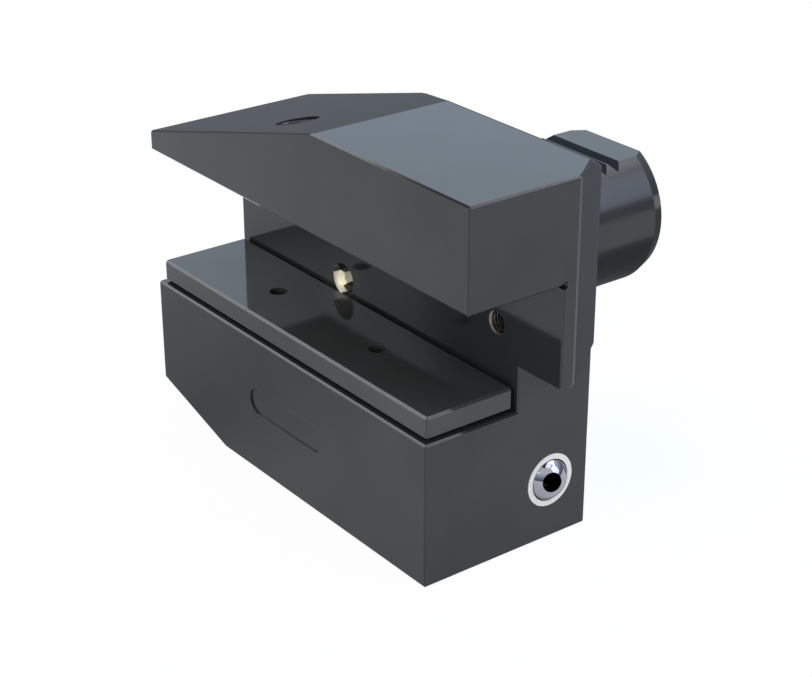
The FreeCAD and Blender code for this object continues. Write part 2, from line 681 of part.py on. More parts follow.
def cone_radius(height):
    """Radius of the cone that lies on the ball's room at seat_cone_angle, at a height over the end face."""
    return "%s / cos(seat_cone_angle) + (%s + ball_depth) * tan(seat_cone_angle)" % (BALL_ROOM, height)


CONE_FOOT = "((seat_bore_radius - %s / cos(seat_cone_angle)) / tan(seat_cone_angle) - ball_depth)" % BALL_ROOM
turned_nozzle_piece("nozzle_seat", [
    (cone_radius(SEAT_TOP), SEAT_TOP),
    ("nozzle_pocket_radius - 2 * ring_clearance", SEAT_TOP),
    ("nozzle_pocket_radius - 2 * ring_clearance", "%s - seat_length" % SEAT_TOP),
    ("seat_bore_radius", "%s - seat_length" % SEAT_TOP),
    ("seat_bore_radius", CONE_FOOT),
])

ball_blank = doc.addObject("Part::Sphere", "BallBlank")
ball_blank.setExpression("Radius", bound("ball_radius"))
ball_bore = doc.addObject("Part::Cylinder", "BallBore")
ball_bore.setExpression("Radius", bound("ball_bore_radius"))
ball_bore.setExpression("Height", bound("2 * ball_radius + 2 * overcut"))
ball_bore.setExpression("Placement.Base.z", bound("-ball_radius - overcut"))
ball = doc.addObject("Part::Cut", "nozzle_ball")
ball.Base = ball_blank
ball.Tool = ball_bore
tilt_axis = Vector(0, -math.cos(math.radians(number("ball_tilt_turn"))), -math.sin(math.radians(number("ball_tilt_turn"))))
ball_turn = Rotation(tilt_axis, number("ball_tilt")).multiply(Rotation(Y_AXIS, 90))
ball.Placement = Placement(Vector(), ball_turn)
ball.setExpression("Placement.Base.x", bound("block_reach - ball_depth"))
ball.setExpression("Placement.Base.y", bound("-channel_setback"))
ball.setExpression("Placement.Base.z", bound("-channel_drop"))
pieces.append(ball)


def seal_ring(label, inner, cord):
    """A seal ring about +Z from its inner radius and its cord, with a section of cord_sides sides."""
    body = piece(label)
    profile = sketch(body, "XZ_Plane", "CordSection")
    corners = []
    sides = int(number("cord_sides"))
    for i in range(sides):
        corner_turn = 360 * i / sides
        corners.append(("%s + %s / 2 + %s / 2 * cos(%g)" % (inner, cord, cord, corner_turn),
                        "%s / 2 * sin(%g)" % (cord, corner_turn)))
    outline(profile, corners)
    turn(body, profile, "Turned")
    return body


# Seals: one around the root of the shank, one around the coolant inlet in the seat face
shank_seal = seal_ring("shank_seal", "shank_radius - seal_groove_depth", "shank_seal_cord")
place(shank_seal, "0", "seal_groove_start + seal_groove_width / 2", "0", X_AXIS, "90")
inlet_seal = seal_ring("inlet_seal", "inlet_seal_inner", "inlet_seal_cord")
place(inlet_seal, "0", "inlet_seal_cord / 2 - inlet_groove_depth", "-channel_drop", X_AXIS, "90")

# Build, check and write
doc.recompute()
for made in doc.Objects:
    if "Invalid" in made.State or "Error" in made.State:
        raise RuntimeError("%s is in state %s" % (made.Name, made.State))
for made in pieces:
    shape = made.Shape
    if shape.isNull() or not shape.isValid() or not shape.Solids:
        raise RuntimeError("%s has no sound solid" % made.Label)

os.makedirs("parts", exist_ok=True)
for made in pieces:
    made.Shape.exportStep("parts/%s.step" % made.Label)
    box = made.Shape.BoundBox
    print("%-24s solids %d volume %10.2f  x %7.2f %7.2f  y %7.2f %7.2f  z %7.2f %7.2f" % (
        made.Label, len(made.Shape.Solids), made.Shape.Volume,
        box.XMin, box.XMax, box.YMin, box.YMax, box.ZMin, box.ZMax))
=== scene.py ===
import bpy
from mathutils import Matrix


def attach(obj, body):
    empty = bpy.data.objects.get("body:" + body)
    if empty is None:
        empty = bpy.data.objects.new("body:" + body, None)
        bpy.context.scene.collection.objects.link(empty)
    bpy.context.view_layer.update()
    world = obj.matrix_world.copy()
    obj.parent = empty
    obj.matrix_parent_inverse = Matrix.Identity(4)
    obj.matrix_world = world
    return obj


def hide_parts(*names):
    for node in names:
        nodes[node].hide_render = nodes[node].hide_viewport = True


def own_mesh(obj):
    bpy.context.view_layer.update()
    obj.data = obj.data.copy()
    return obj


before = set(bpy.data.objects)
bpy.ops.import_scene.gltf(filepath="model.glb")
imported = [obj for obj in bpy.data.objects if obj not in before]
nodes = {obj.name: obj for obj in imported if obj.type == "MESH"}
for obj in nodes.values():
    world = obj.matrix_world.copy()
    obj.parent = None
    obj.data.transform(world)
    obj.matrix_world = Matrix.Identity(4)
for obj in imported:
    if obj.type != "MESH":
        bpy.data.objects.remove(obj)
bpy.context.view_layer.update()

import math
import bpy
from mathutils import Vector

scene = bpy.context.scene
scene.view_settings.view_transform = "Standard"

# Sky: the even white of a studio tent, which stands far behind and above everything.
# The eye and mirrors see plain white, and the light it spreads is a little dimmer and bluer.
SKY_LIGHT = (0.94, 0.96, 1.0, 1)
SKY_STRENGTH = 0.75
WHITE = (1, 1, 1, 1)


def link(tree, *pairs):
    for start, end in pairs:
        tree.links.new(start, end)


def math_node(tree, operation, *values):
    made = tree.nodes.new("ShaderNodeMath")
    made.operation = operation
    for slot, value in enumerate(values):
        if isinstance(value, (int, float)):
            made.inputs[slot].default_value = value
        else:
            tree.links.new(value, made.inputs[slot])
    return made.outputs[0]


def seen_directly(tree, eye_share, mirror_share):
    """A share for rays from the eye, one for rays from a mirror or glass, and 0 for light that spreads."""
    path = tree.nodes.new("ShaderNodeLightPath")
    eye_part = math_node(tree, "MULTIPLY", path.outputs["Is Camera Ray"], eye_share)
    mirror_part = math_node(tree, "MULTIPLY", path.outputs["Is Glossy Ray"], mirror_share)
    glass_part = math_node(tree, "MULTIPLY", path.outputs["Is Transmission Ray"], mirror_share)
    return math_node(tree, "MAXIMUM", eye_part, math_node(tree, "MAXIMUM", mirror_part, glass_part))


world = bpy.data.worlds.new("studio_sky")
scene.world = world
world.use_nodes = True
sky = world.node_tree
sky.nodes.clear()
light_sky = sky.nodes.new("ShaderNodeBackground")
light_sky.inputs["Color"].default_value = SKY_LIGHT
light_sky.inputs["Strength"].default_value = SKY_STRENGTH
white_sky = sky.nodes.new("ShaderNodeBackground")
white_sky.inputs["Color"].default_value = WHITE
white_sky.inputs["Strength"].default_value = 1.0
sky_mix = sky.nodes.new("ShaderNodeMixShader")
sky_out = sky.nodes.new("ShaderNodeOutputWorld")
link(sky,
     (seen_directly(sky, 1.0, 1.0), sky_mix.inputs[0]),
     (light_sky.outputs[0], sky_mix.inputs[1]),
     (white_sky.outputs[0], sky_mix.inputs[2]),
     (sky_mix.outputs[0], sky_out.inputs["Surface"]))

# Floor: a round of matte white card that the holder lies on.
# It stays white to the eye with a faint shadow of the holder, is dimmer in mirrors, and has a faint bluish
# glow painted into it behind the lower block.
FLOOR_Z = -0.04255
FLOOR_RADIUS = 0.95
FLOOR_SIDES = 96
CARD_COLOUR = (0.88, 0.88, 0.88, 1)
SEEN_WHITE = 0.97
MIRRORED_WHITE = 0.55
SPILL_CENTRE = (0.044, 0.026, FLOOR_Z)
SPILL_COLOUR = (0.945, 1.0, 0.995, 1)
SPILL_CORE = 0.005
SPILL_RIM = 0.045


def mesh_piece(name, points, faces, smooth=True):
    mesh = bpy.data.meshes.new(name)
    mesh.from_pydata(points, [], faces)
    mesh.update()
    made = bpy.data.objects.new(name, mesh)
    scene.collection.objects.link(made)
    for face in mesh.polygons:
        face.use_smooth = smooth
    return made


def circle_points(radius, z, count):
    return [(radius * math.cos(2 * math.pi * i / count), radius * math.sin(2 * math.pi * i / count), z)
            for i in range(count)]


def empty_material(name):
    """A material whose tree holds no nodes yet."""
    material = bpy.data.materials.new(name)
    material.use_nodes = True
    material.node_tree.nodes.clear()
    return material, material.node_tree


def tone_by_distance(tree, centre, *stops):
    """A colour that changes softly with the distance from a place; each stop is (metres, colour)."""
    place = tree.nodes.new("ShaderNodeTexCoord")
    away = tree.nodes.new("ShaderNodeVectorMath")
    away.operation = "DISTANCE"
    away.inputs[1].default_value = centre
    ramp = tree.nodes.new("ShaderNodeValToRGB")
    ramp.color_ramp.interpolation = "EASE"
    steps = ramp.color_ramp.elements
    for _ in stops[2:]:
        steps.new(1.0)
    for step, (reach, tone) in zip(steps, stops):
        step.position = reach
        step.color = tone
    link(tree, (place.outputs["Object"], away.inputs[0]), (away.outputs["Value"], ramp.inputs[0]))
    return ramp.outputs[0]


floor = mesh_piece("floor", circle_points(FLOOR_RADIUS, FLOOR_Z, FLOOR_SIDES), [tuple(range(FLOOR_SIDES))],
                   smooth=False)
card, tree = empty_material("floor_card")
matte = tree.nodes.new("ShaderNodeBsdfDiffuse")
matte.inputs["Color"].default_value = CARD_COLOUR
glow = tree.nodes.new("ShaderNodeEmission")
glow.inputs["Strength"].default_value = 1.0
# Painted light: a faint bluish tint in the floor's glow behind the lower block
spill = tone_by_distance(tree, SPILL_CENTRE, (SPILL_CORE, SPILL_COLOUR), (SPILL_RIM, WHITE))
floor_mix = tree.nodes.new("ShaderNodeMixShader")
floor_out = tree.nodes.new("ShaderNodeOutputMaterial")
link(tree,
     (spill, glow.inputs["Color"]),
     (seen_directly(tree, SEEN_WHITE, MIRRORED_WHITE), floor_mix.inputs[0]),
     (matte.outputs[0], floor_mix.inputs[1]),
     (glow.outputs[0], floor_mix.inputs[2]),
     (floor_mix.outputs[0], floor_out.inputs["Surface"]))
floor.data.materials.append(card)

# Studio wall: a round band at eye height that glows bluish, dim at its foot and bright at its top, though it
# is no lamp. Only mirrors see it; it paints the reflections that give the upright faces of the holder their
# darker tones.
WALL_RADIUS = 1.7
WALL_FOOT = 0.02
WALL_TOP = 1.10
WALL_SIDES = 64
WALL_DIM = 0.25
WALL_COLOUR = (0.72, 0.86, 1.0, 1)


def only_in_mirrors(piece):
    """Hides a piece from the eye, from spread light and from shadows."""
    piece.visible_camera = False
    piece.visible_diffuse = False
    piece.visible_shadow = False


wall_faces = []
for i in range(WALL_SIDES):
    ahead = (i + 1) % WALL_SIDES
    wall_faces.append((i, ahead, WALL_SIDES + ahead, WALL_SIDES + i))
wall_foot = circle_points(WALL_RADIUS, FLOOR_Z, WALL_SIDES)
wall_head = circle_points(WALL_RADIUS, WALL_TOP, WALL_SIDES)
wall = mesh_piece("studio_wall", wall_foot + wall_head, wall_faces)
only_in_mirrors(wall)
dim, tree = empty_material("studio_wall_dim")
where = tree.nodes.new("ShaderNodeTexCoord")
split = tree.nodes.new("ShaderNodeSeparateXYZ")
rise = tree.nodes.new("ShaderNodeMapRange")
rise.interpolation_type = "SMOOTHSTEP"
rise.inputs["From Min"].default_value = WALL_FOOT
rise.inputs["From Max"].default_value = WALL_TOP
rise.inputs["To Min"].default_value = WALL_DIM
rise.inputs["To Max"].default_value = 1.0
# Painted reflection: the wall's glow, which grows with its height
wall_glow = tree.nodes.new("ShaderNodeEmission")
wall_glow.inputs["Color"].default_value = WALL_COLOUR
wall_out = tree.nodes.new("ShaderNodeOutputMaterial")
link(tree,
     (where.outputs["Object"], split.inputs[0]),
     (split.outputs["Z"], rise.inputs["Value"]),
     (rise.outputs[0], wall_glow.inputs["Strength"]),
     (wall_glow.outputs[0], wall_out.inputs["Surface"]))
wall.data.materials.append(dim)

# Dark cloth: a sheet of felt on the floor behind the holder, lighter close to the shank, that only mirrors
# see. It is a painted dark reflection of the floor; the shank's side and the strip at the right rear get
# their tone from it.
SHEET_Z = FLOOR_Z + 0.0004
CLOTH_LEFT = -1.65
CLOTH_RIGHT = 0.060
CLOTH_FRONT = 0.035
CLOTH_BACK = 1.50
CLOTH_CENTRE = (0, 0.045, FLOOR_Z)
CLOTH_NEAR = (0.12, 0.12, 0.13, 1)
CLOTH_DARK = (0.075, 0.078, 0.085, 1)
CLOTH_FAR = (0.10, 0.105, 0.115, 1)

cloth = mesh_piece("dark_cloth",
                   [(CLOTH_LEFT, CLOTH_FRONT, SHEET_Z), (CLOTH_RIGHT, CLOTH_FRONT, SHEET_Z),
                    (CLOTH_RIGHT, CLOTH_BACK, SHEET_Z), (CLOTH_LEFT, CLOTH_BACK, SHEET_Z)],
                   [(0, 1, 2, 3)], smooth=False)
only_in_mirrors(cloth)
felt = bpy.data.materials.new("dark_felt")
felt.use_nodes = True
felt_shader = felt.node_tree.nodes["Principled BSDF"]
felt_shader.inputs["Roughness"].default_value = 0.95
# Painted reflection: the cloth's tone, lighter close to the shank
cloth_tone = tone_by_distance(felt.node_tree, CLOTH_CENTRE,
                              (0.024, CLOTH_NEAR), (0.040, CLOTH_DARK),
                              (0.150, CLOTH_DARK), (0.350, CLOTH_FAR))
link(felt.node_tree, (cloth_tone, felt_shader.inputs["Base Color"]))
cloth.data.materials.append(felt)

# Grey paper: a round sheet on the floor in front of the holder, with a rim that fades out. Only mirrors see
# it; it is a painted shadow of the floor in front of the holder, which tones down the front faces.
PAPER_SPOT = (-0.070, -0.062)
PAPER_RADIUS = 0.085
PAPER_CORE = 0.020
PAPER_SIDES = 48
PAPER_COLOUR = (0.57, 0.58, 0.57, 1)

paper = mesh_piece("grey_paper",
                   [(PAPER_SPOT[0] + x, PAPER_SPOT[1] + y, z)
                    for x, y, z in circle_points(PAPER_RADIUS, SHEET_Z, PAPER_SIDES)],
                   [tuple(range(PAPER_SIDES))], smooth=False)
only_in_mirrors(paper)
grey, tree = empty_material("grey_paper")
# Painted shade: the paper's grey fades from its core to its rim
paper_fade = tone_by_distance(tree, (*PAPER_SPOT, SHEET_Z), (PAPER_CORE, (0, 0, 0, 1)), (PAPER_RADIUS, WHITE))
paper_matte = tree.nodes.new("ShaderNodeBsdfDiffuse")
paper_matte.inputs["Color"].default_value = PAPER_COLOUR
paper_clear = tree.nodes.new("ShaderNodeBsdfTransparent")
paper_mix = tree.nodes.new("ShaderNodeMixShader")
paper_out = tree.nodes.new("ShaderNodeOutputMaterial")
link(tree,
     (paper_fade, paper_mix.inputs[0]),
     (paper_matte.outputs[0], paper_mix.inputs[1]),
     (paper_clear.outputs[0], paper_mix.inputs[2]),
     (paper_mix.outputs[0], paper_out.inputs["Surface"]))
paper.data.materials.append(grey)

# Softboxes: large lamps behind white cloth, all turned to the centre of the seat face.
# soft_back lights the flat tops, soft_shank the upper side of the shank and soft_edge the broken edges.


def turned_to(spot, target):
    """The rotation that turns a lamp, a board or the camera at a spot to a target."""
    return (Vector(target) - Vector(spot)).to_track_quat("-Z", "Y").to_euler()


def softbox(name, spot, width, height, watts, colour):
    lamp = bpy.data.lights.new(name, "AREA")
    lamp.shape = "RECTANGLE"
    lamp.size = width
    lamp.size_y = height
    lamp.energy = watts
    lamp.color = colour
    made = bpy.data.objects.new(name, lamp)
    made.location = spot
    made.rotation_euler = turned_to(spot, (0, 0, 0))
    made.visible_camera = False
    scene.collection.objects.link(made)


softbox("soft_back", (-1.04, 0.80, 0.816), 1.52, 0.8, 2.45, (0.69, 0.84, 1.0))
softbox("soft_top", (0.25, 0.35, 1.7), 1.6, 1.3, 9.0, (0.84, 0.90, 1.0))
softbox("soft_right", (1.15, 0.95, 0.75), 0.9, 1.3, 8.5, (0.70, 0.78, 1.0))
softbox("soft_shank", (0.235, 0.96, 1.25), 0.75, 0.55, 3.6, (0.80, 0.88, 1.0))
softbox("soft_edge", (-1.028, -0.545, 0.645), 0.5, 0.33, 1.6, (0.92, 0.96, 1.0))

# Blue flag: a board that hangs above soft_edge and glows a dim bluish light, though it is no lamp. Only
# mirrors see it; it paints the blue grey reflection on the flanks of the rack.
FLAG_SPOT = (-0.927, -0.449, 0.962)
FLAG_HALF_WIDTH = 0.40
FLAG_HALF_HEIGHT = 0.15
FLAG_COLOUR = (0.15, 0.22, 0.34, 1)

flag = mesh_piece("blue_flag",
                  [(-FLAG_HALF_WIDTH, -FLAG_HALF_HEIGHT, 0), (FLAG_HALF_WIDTH, -FLAG_HALF_HEIGHT, 0),
                   (FLAG_HALF_WIDTH, FLAG_HALF_HEIGHT, 0), (-FLAG_HALF_WIDTH, FLAG_HALF_HEIGHT, 0)],
                  [(0, 1, 2, 3)], smooth=False)
flag.location = FLAG_SPOT
flag.rotation_euler = turned_to(FLAG_SPOT, (0, 0, 0))
only_in_mirrors(flag)
dusk, tree = empty_material("blue_flag")
# Painted reflection: the flag's dim bluish glow
flag_glow = tree.nodes.new("ShaderNodeEmission")
flag_glow.inputs["Color"].default_value = FLAG_COLOUR
flag_out = tree.nodes.new("ShaderNodeOutputMaterial")
link(tree, (flag_glow.outputs[0], flag_out.inputs["Surface"]))
flag.data.materials.append(dusk)

# Pin spot and front softbox: a lamp with a very narrow beam, and a weak warm lamp far in front.
# The beam falls on the painted light ivory highlight in the hole that lies on the shank's axis.
PIN_SPOT = (0.33, -0.30, 0.16)
PIN_AIM = (-0.0012, -0.0195, -0.0022)
PIN_WATTS = 10.5
PIN_BEAM_DEG = 0.9

pin = bpy.data.lights.new("pin_spot", "SPOT")
pin.energy = PIN_WATTS
pin.color = (1.0, 0.97, 0.90)
pin.spot_size = math.radians(PIN_BEAM_DEG)
pin.spot_blend = 0.3
pin.shadow_soft_size = 0.004
pin_spot = bpy.data.objects.new("pin_spot", pin)
pin_spot.location = PIN_SPOT
pin_spot.rotation_euler = turned_to(PIN_SPOT, PIN_AIM)
scene.collection.objects.link(pin_spot)
softbox("soft_front", (0.35, -1.7, 0.95), 1.2, 0.8, 3.0, (1.0, 0.97, 0.93))

# Camera: a long lens to the front right of the holder and above it.
# Its place, direction and focal length were solved from the corners of the holder in the photo.
CAMERA_SPOT = (0.32856, -0.25260, 0.17688)
CAMERA_DIRECTION = (-0.718, 0.547, -0.431)
LENS_MM = 84.24
SENSOR_MM = 36

eye = bpy.data.objects.new("camera", bpy.data.cameras.new("camera"))
eye.location = CAMERA_SPOT
eye.rotation_euler = Vector(CAMERA_DIRECTION).to_track_quat("-Z", "Y").to_euler()
eye.data.lens = LENS_MM
eye.data.sensor_width = SENSOR_MM
scene.collection.objects.link(eye)
scene.camera = eye

# Holder body: one forged steel block with its shank, ground on every face and blackened in a salt bath.
# The finish is near black, with fine grinding lines along the block and a little bare steel at the edges,
# which also paints their thin highlights.
# The shank is turned and less smooth. The wall of the bore behind the slot is painted light ivory as a
# highlight on its lower left side, and so is the wall of the hole in the back wall.
MM = 1000.0
BLACK = (0.034, 0.035, 0.036)
BLACK_WORN = (0.041, 0.042, 0.043)
BARE_AND_SHEEN = (0.62, 0.60, 0.53)
# Painted highlight: the light ivory of the lit walls in the bore behind the slot and in the hole in the back
# wall
PAINTED_HIGHLIGHT = (0.92, 0.87, 0.74)
SHANK_ROUGH = 0.20
LINE_RELIEF = 0.000004
EDGE_GAIN = 5.0
PATCH_SCALE = 260.0
BACK_WALL_Y = -0.0205
BEHIND_FACE = 0.0001
BORE_REACH = 0.00415
BORE_DEPTH = 0.006
WALL_HOLE_REACH = 0.00275
WALL_HOLE_DEPTH = 0.012
SHANK_OUTSIDE = 0.0202
SHANK_INSIDE = 0.01985
PAST_SHANK_END = 0.08


def value_group(name, inputs, outputs):
    """An empty effect group with the given value inputs (name, default) and value outputs."""
    group = bpy.data.node_groups.new(name, "ShaderNodeTree")
    for label, default in inputs:
        socket = group.interface.new_socket(label, in_out="INPUT", socket_type="NodeSocketFloat")
        socket.default_value = default
    for label in outputs:
        group.interface.new_socket(label, in_out="OUTPUT", socket_type="NodeSocketFloat")
    return group, group.nodes.new("NodeGroupInput"), group.nodes.new("NodeGroupOutput")


# Grinding lines and blotches of the blackening, in millimetres of the piece's own place
grain, grain_in, grain_out = value_group(
    "ground_grain",
    [("Line Length", 9.0), ("Line Pitch", 0.16), ("Blotch Size", 14.0)],
    ["Lines", "Blotches"])
place = grain.nodes.new("ShaderNodeTexCoord")
to_mm = grain.nodes.new("ShaderNodeVectorMath")
to_mm.operation = "SCALE"
to_mm.inputs["Scale"].default_value = MM
axes = grain.nodes.new("ShaderNodeSeparateXYZ")
along = math_node(grain, "DIVIDE", axes.outputs["X"], grain_in.outputs["Line Length"])
across = math_node(grain, "DIVIDE", axes.outputs["Y"], grain_in.outputs["Line Pitch"])
up = math_node(grain, "DIVIDE", axes.outputs["Z"], grain_in.outputs["Line Pitch"])
stretched = grain.nodes.new("ShaderNodeCombineXYZ")
line_noise = grain.nodes.new("ShaderNodeTexNoise")
line_noise.inputs["Scale"].default_value = 1.0
line_noise.inputs["Detail"].default_value = 2.0
blotch_scale = math_node(grain, "DIVIDE", 1.0, grain_in.outputs["Blotch Size"])
blotch_noise = grain.nodes.new("ShaderNodeTexNoise")
blotch_noise.inputs["Detail"].default_value = 4.0
link(grain,
     (place.outputs["Object"], to_mm.inputs[0]),
     (to_mm.outputs[0], axes.inputs[0]),
     (along, stretched.inputs["X"]),
     (across, stretched.inputs["Y"]),
     (up, stretched.inputs["Z"]),
     (stretched.outputs[0], line_noise.inputs["Vector"]),
     (to_mm.outputs[0], blotch_noise.inputs["Vector"]),
     (blotch_scale, blotch_noise.inputs["Scale"]),
     (line_noise.outputs["Fac"], grain_out.inputs["Lines"]),
     (blotch_noise.outputs["Fac"], grain_out.inputs["Blotches"]))

# Bare steel where edges have been rubbed, and painted highlight on the edges: 1 on sharp edges, 0 on open
# faces
wear_and_sheen, wear_and_sheen_in, wear_and_sheen_out = value_group("edge_wear_and_sheen", [("Width", 0.0003), ("Patchiness", 0.8)], ["Mask"])
soft = wear_and_sheen.nodes.new("ShaderNodeBevel")
soft.samples = 4
shape = wear_and_sheen.nodes.new("ShaderNodeNewGeometry")
turned = wear_and_sheen.nodes.new("ShaderNodeVectorMath")
turned.operation = "DOT_PRODUCT"
spot = wear_and_sheen.nodes.new("ShaderNodeTexCoord")
patch = wear_and_sheen.nodes.new("ShaderNodeTexNoise")
patch.inputs["Scale"].default_value = PATCH_SCALE
patch.inputs["Detail"].default_value = 3.0
edge = math_node(wear_and_sheen, "SUBTRACT", 1.0, turned.outputs["Value"])
edge = math_node(wear_and_sheen, "MULTIPLY", edge, EDGE_GAIN)
kept_black = math_node(wear_and_sheen, "MULTIPLY", patch.outputs["Fac"], wear_and_sheen_in.outputs["Patchiness"])
edge = math_node(wear_and_sheen, "SUBTRACT", edge, kept_black)
edge = math_node(wear_and_sheen, "MINIMUM", math_node(wear_and_sheen, "MAXIMUM", edge, 0.0), 1.0)
link(wear_and_sheen,
     (wear_and_sheen_in.outputs["Width"], soft.inputs["Radius"]),
     (soft.outputs[0], turned.inputs[0]),
     (shape.outputs["Normal"], turned.inputs[1]),
     (spot.outputs["Object"], patch.inputs["Vector"]),
     (edge, wear_and_sheen_out.inputs["Mask"]))


def use_group(tree, group, **values):
    made = tree.nodes.new("ShaderNodeGroup")
    made.node_tree = group
    for label, value in values.items():
        made.inputs[label.replace("_", " ")].default_value = value
    return made


def mix_colour(tree, share, first, second):
    made = tree.nodes.new("ShaderNodeMix")
    made.data_type = "RGBA"
    for slot, value in (("Factor", share), ("A", first), ("B", second)):
        socket = next(s for s in made.inputs if s.name == slot and (slot == "Factor" or s.type == "RGBA"))
        if isinstance(value, tuple):
            socket.default_value = (*value, 1)
        else:
            tree.links.new(value, socket)
    return next(s for s in made.outputs if s.type == "RGBA")


def spread(tree, value, low, high):
    """Moves a noise value, which stays mostly within 0.3 to 0.7, to low to high."""
    made = tree.nodes.new("ShaderNodeMapRange")
    made.inputs["From Min"].default_value = 0.3
    made.inputs["From Max"].default_value = 0.7
    made.inputs["To Min"].default_value = low
    made.inputs["To Max"].default_value = high
    tree.links.new(value, made.inputs["Value"])
    return made.outputs[0]


def metal(name, colour, worn, metallic, rough, specular=0.4, line_length=9.0, line_pitch=0.16, line_depth=0.5,
          bare_and_sheen=0.5):
    """A ground and treated steel: two tones in blotches, grinding lines, and lighter edges that are rubbed
    bare and also paint the edge highlights.
    """
    material = bpy.data.materials.new(name)
    material.use_nodes = True
    tree = material.node_tree
    shader = tree.nodes["Principled BSDF"]
    shader.inputs["Metallic"].default_value = metallic
    shader.inputs["Specular IOR Level"].default_value = specular
    texture = use_group(tree, grain, Line_Length=line_length, Line_Pitch=line_pitch)
    edges = use_group(tree, wear_and_sheen)
    tone = mix_colour(tree, spread(tree, texture.outputs["Blotches"], 0, 1), colour, worn)
    # Edge colour: rubbed bare steel, which also serves as painted edge highlight
    lit = mix_colour(tree, math_node(tree, "MULTIPLY", edges.outputs["Mask"], bare_and_sheen), tone, BARE_AND_SHEEN)
    bump = tree.nodes.new("ShaderNodeBump")
    bump.inputs["Strength"].default_value = line_depth
    bump.inputs["Distance"].default_value = LINE_RELIEF
    link(tree,
         (lit, shader.inputs["Base Color"]),
         (spread(tree, texture.outputs["Lines"], rough * 0.85, rough * 1.2), shader.inputs["Roughness"]),
         (texture.outputs["Lines"], bump.inputs["Height"]),
         (bump.outputs[0], shader.inputs["Normal"]))
    return material, shader, lit


def near_line(tree, centre, radius, start, end):
    """1 inside a round space about a line along Y, between two distances from its centre, else 0."""
    coordinates = tree.nodes.new("ShaderNodeTexCoord")
    away = tree.nodes.new("ShaderNodeVectorMath")
    away.operation = "SUBTRACT"
    away.inputs[1].default_value = centre
    parts = tree.nodes.new("ShaderNodeSeparateXYZ")
    link(tree, (coordinates.outputs["Object"], away.inputs[0]), (away.outputs[0], parts.inputs[0]))
    squares = [math_node(tree, "POWER", parts.outputs[letter], 2.0) for letter in "XZ"]
    reach = math_node(tree, "SQRT", math_node(tree, "ADD", *squares))
    inside = math_node(tree, "LESS_THAN", reach, radius)
    past_start = math_node(tree, "GREATER_THAN", parts.outputs["Y"], start)
    before_end = math_node(tree, "LESS_THAN", parts.outputs["Y"], end)
    return math_node(tree, "MULTIPLY", math_node(tree, "MULTIPLY", inside, past_start), before_end)


def cut_off(tree, share, *limits):
    """A share, 0 where the place lies past any of the limits; each is a direction and metres along it."""
    for direction, limit in limits:
        coordinates = tree.nodes.new("ShaderNodeTexCoord")
        measured = tree.nodes.new("ShaderNodeVectorMath")
        measured.operation = "DOT_PRODUCT"
        measured.inputs[1].default_value = direction
        link(tree, (coordinates.outputs["Object"], measured.inputs[0]))
        before = math_node(tree, "LESS_THAN", measured.outputs["Value"], limit)
        share = math_node(tree, "MULTIPLY", share, before)
    return share


def dress(node, material):
    """Gives a CAD node its material through the object's own slots."""
    for slot in nodes[node].material_slots:
        slot.link = "OBJECT"
        slot.material = material


black_steel, shader, tone = metal("black_oxide_ground", BLACK, BLACK_WORN, 0.4, 0.07, bare_and_sheen=0.15)
tree = black_steel.node_tree
# Painted highlight on the lower left of the bore wall behind the slot; it stops in a straight line above,
# where the jaw's shadow would fall
lit_bore_wedge = near_line(tree, (0, BACK_WALL_Y, 0), BORE_REACH, BEHIND_FACE, BORE_DEPTH)
lit_bore_wedge = cut_off(tree, lit_bore_wedge, ((0, 0, 1), 0.0006), ((1, 0, 0), -0.0012))
# Painted highlight over the wall of the hole in the back wall
lit_wall_hole = near_line(tree, (0.055, BACK_WALL_Y, 0.0095), WALL_HOLE_REACH, BEHIND_FACE, WALL_HOLE_DEPTH)
painted_highlight_share = math_node(tree, "MAXIMUM", lit_bore_wedge, lit_wall_hole)
shank_skin = math_node(tree, "SUBTRACT",
                       near_line(tree, (0, 0, 0), SHANK_OUTSIDE, BEHIND_FACE, PAST_SHANK_END),
                       near_line(tree, (0, 0, 0), SHANK_INSIDE, BEHIND_FACE, PAST_SHANK_END))
ground_rough = shader.inputs["Roughness"].links[0].from_socket
shank_rough = math_node(tree, "MULTIPLY", shank_skin, SHANK_ROUGH)
link(tree,
     (mix_colour(tree, painted_highlight_share, tone, PAINTED_HIGHLIGHT), shader.inputs["Base Color"]),
     (math_node(tree, "MAXIMUM", ground_rough, shank_rough), shader.inputs["Roughness"]))
dress("holder_body", black_steel)

# Clamping bar: a flat bar of hardened steel that the set screws press up against the tool.
# It is ground on all sides, blackened like the block, and its top is the smoothest face of the holder.
bar_steel, _, _ = metal("black_oxide_bar", (0.054, 0.055, 0.054), (0.062, 0.063, 0.062), 0.15, 0.055,
                        specular=0.32, bare_and_sheen=0.2, line_depth=0.35)
dress("clamp_bar", bar_steel)

# Clamp screws and retaining screws: hardened alloy screws with black oxide, turned and threaded.
# The clamp screws sit deep in the underside, and the retaining screws hang from the bar.
screw_black, _, _ = metal("black_oxide_screw", (0.050, 0.050, 0.052), (0.075, 0.074, 0.072), 0.85, 0.30,
                          line_length=1.2, bare_and_sheen=0.7)
for node in ("clamp_screw_left", "clamp_screw_middle", "clamp_screw_right",
             "retaining_screw_left", "retaining_screw_right"):
    dress(node, screw_black)

# Return springs: round spring wire, cold coiled, pushed on between counterbore and screw head.
# They are bare, so the wire is brighter than the rest, and they shorten as the bar rises.
SPRING_X = (-0.0092, 0.0292)
SPRING_Y = -0.0324
SPRING_FOOT = -0.0315
SPRING_TOP = -0.0205
WIRE = 0.00045
WIRE_SIDES = 12
COIL_RADIUS = 0.00335
COIL_TURNS = 5.5
COIL_STEPS = 220
ALMOST_UP = Vector((0.03, 0.07, 1))


